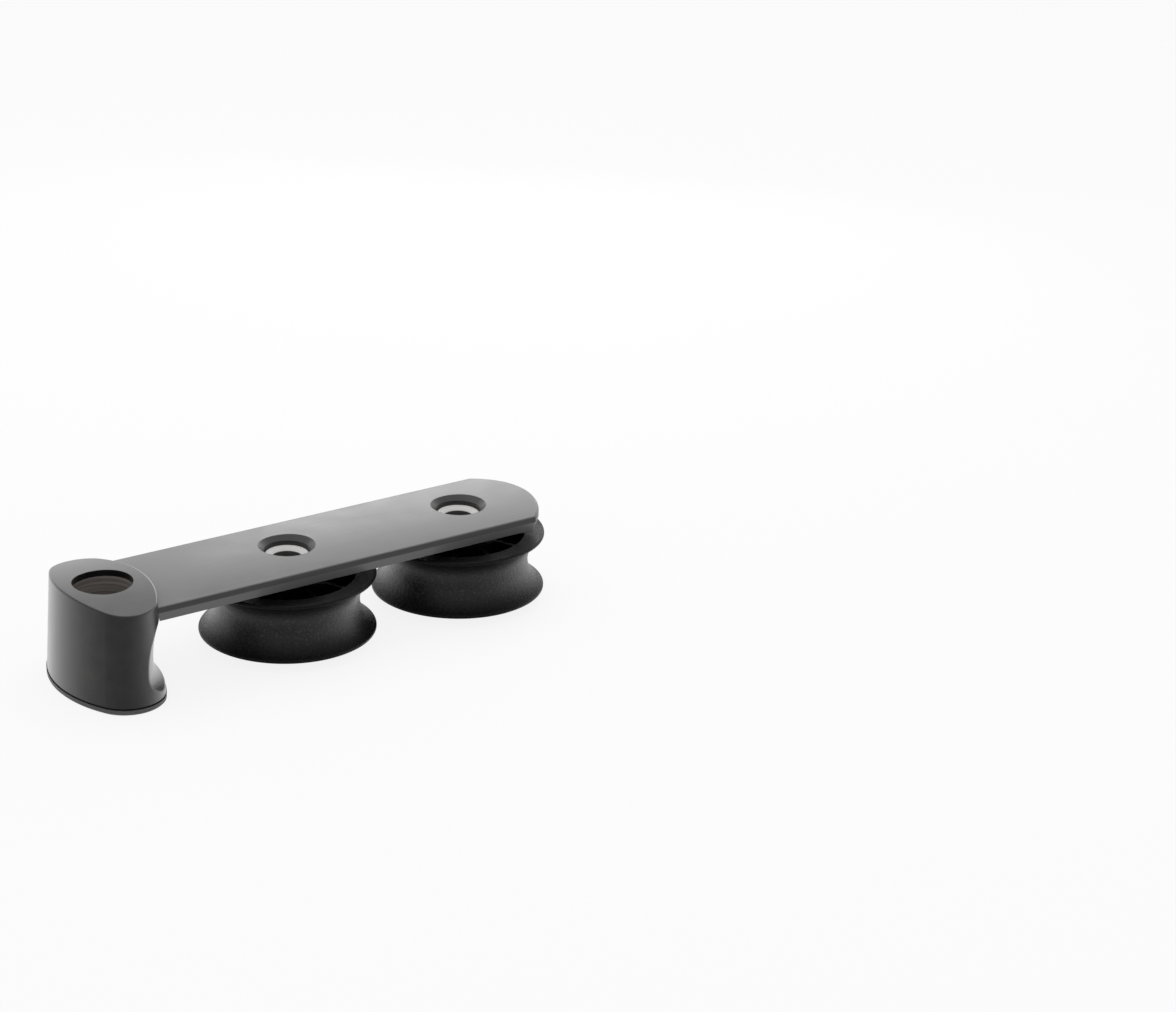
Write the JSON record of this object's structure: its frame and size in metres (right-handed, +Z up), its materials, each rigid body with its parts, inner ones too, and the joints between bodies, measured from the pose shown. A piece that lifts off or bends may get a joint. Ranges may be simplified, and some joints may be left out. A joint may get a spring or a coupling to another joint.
{
  "type": "rope deck organizer",
  "caption": "Deck organizer for ropes: roller-bearing sheaves under a crowned grey top plate, with a tall hollowed fairlead post at one end.",
  "frame": {"origin": "on the deck plane, on the bolt axis of the sheave beside the post, which is the middle of the three bolts", "axes": "+X along the plate from the post to the free end, +Y across the plate, +Z up from the deck"},
  "size_m": [0.1522, 0.05, 0.0299],
  "materials": {
    "plate_metal": "satin grey anodised, fine brushed lines",
    "post_metal": "satin dark grey anodised",
    "foot_pad": "matt dark grey moulded pad",
    "sheave_moulding": "black glass-filled moulding with fine grain",
    "bush_steel": "bright turned stainless steel",
    "race_plastic": "black machined plastic",
    "roller_plastic": "smooth tan bearing plastic",
    "cage_plastic": "natural moulded plastic",
    "cap_plastic": "black satin moulded cap"
  },
  "bodies": {
    "frame": {"top_plate": "plate_metal", "post": "post_metal", "post_foot": "foot_pad", "axle_bush_1": "bush_steel", "inner_race_1": "race_plastic", "lower_bearing_cap_1": "cap_plastic", "upper_bearing_cap_1": "cap_plastic", "lower_washer_1": "bush_steel", "upper_washer_1": "bush_steel", "axle_bush_2": "bush_steel", "inner_race_2": "race_plastic", "lower_bearing_cap_2": "cap_plastic", "upper_bearing_cap_2": "cap_plastic", "lower_washer_2": "bush_steel", "upper_washer_2": "bush_steel"},
    "sheave_1": {"sheave_1": "sheave_moulding"},
    "roller_ring_1": {"rollers_1": "roller_plastic", "roller_cage_1": "cage_plastic"},
    "sheave_2": {"sheave_2": "sheave_moulding"},
    "roller_ring_2": {"rollers_2": "roller_plastic", "roller_cage_2": "cage_plastic"}
  },
  "joints": [
    {"name": "sheave_1_spin", "type": "hinge", "parent": "frame", "child": "sheave_1", "pos_m": [0, 0, 0.01155], "axis": [0, 0, 1], "continuous": true},
    {"name": "roller_ring_1_roll", "type": "hinge", "parent": "frame", "child": "roller_ring_1", "pos_m": [0, 0, 0.01155], "axis": [0, 0, 1], "continuous": true},
    {"name": "sheave_2_spin", "type": "hinge", "parent": "frame", "child": "sheave_2", "pos_m": [0.0567, 0, 0.01155], "axis": [0, 0, 1], "continuous": true},
    {"name": "roller_ring_2_roll", "type": "hinge", "parent": "frame", "child": "roller_ring_2", "pos_m": [0.0567, 0, 0.01155], "axis": [0, 0, 1], "continuous": true}
  ],
  "couplings": [
    {"joint": "roller_ring_1_roll", "follows": "sheave_1_spin", "ratio": 0.5789},
    {"joint": "roller_ring_2_roll", "follows": "sheave_2_spin", "ratio": 0.5789}
  ]
}
